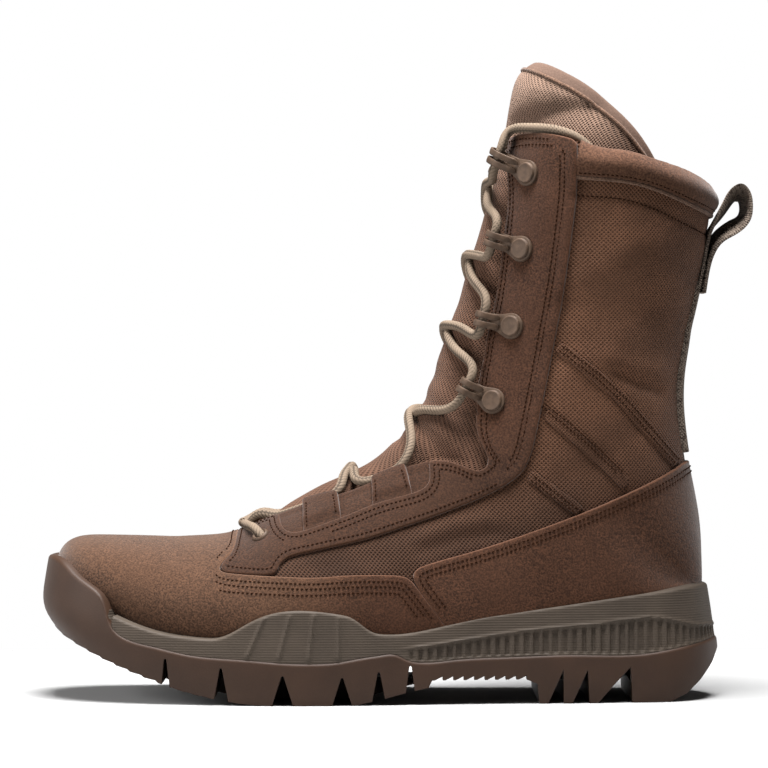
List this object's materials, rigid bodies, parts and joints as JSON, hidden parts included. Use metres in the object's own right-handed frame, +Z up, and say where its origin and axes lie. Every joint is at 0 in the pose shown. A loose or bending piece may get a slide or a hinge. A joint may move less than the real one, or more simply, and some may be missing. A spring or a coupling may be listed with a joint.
{
  "type": "military boot",
  "caption": "Left laced military boot: hollow nylon upper with suede panels, speed hooks, tall tongue, heel pull loop and a lugged rubber sole.",
  "frame": {"origin": "on the floor under the middle of the boot's box", "axes": "+X from toe to heel, +Y from the outer side to the inner side of the foot, +Z up"},
  "size_m": [0.3167, 0.1055, 0.2821],
  "materials": {
    "outsole": "matte brown rubber",
    "midsole": "satin taupe foam",
    "insole": "dark woven lining",
    "nylon": "woven brown nylon",
    "tongue_nylon": "woven brown nylon",
    "suede": "napped brown suede",
    "webbing": "woven khaki webbing",
    "lace": "braided khaki cord",
    "hook_metal": "satin taupe paint"
  },
  "bodies": {
    "root": {"back_strip": "webbing", "collar_cuff": "suede", "eyelet_lateral": "hook_metal", "eyelet_medial": "hook_metal", "eyestay_lateral": "suede", "eyestay_medial": "suede", "heel_counter": "suede", "hook_lateral_1": "hook_metal", "hook_lateral_2": "hook_metal", "hook_lateral_3": "hook_metal", "hook_lateral_4": "hook_metal", "hook_medial_1": "hook_metal", "hook_medial_2": "hook_metal", "hook_medial_3": "hook_metal", "hook_medial_4": "hook_metal", "insole": "insole", "lace_bar": "lace", "lace_crossing_1": "lace", "lace_crossing_2": "lace", "lace_crossing_3": "lace", "lace_crossing_4": "lace", "lace_crossing_5": "lace", "lace_crossing_6": "lace", "lace_end_lateral": "lace", "lace_end_medial": "lace", "lace_keeper_lateral_1": "suede", "lace_keeper_lateral_2": "suede", "lace_keeper_medial_1": "suede", "lace_keeper_medial_2": "suede", "midsole": "midsole", "outsole": "outsole", "pull_loop": "webbing", "tongue": "tongue_nylon", "upper": "nylon", "vamp": "suede"}
  },
  "joints": []
}
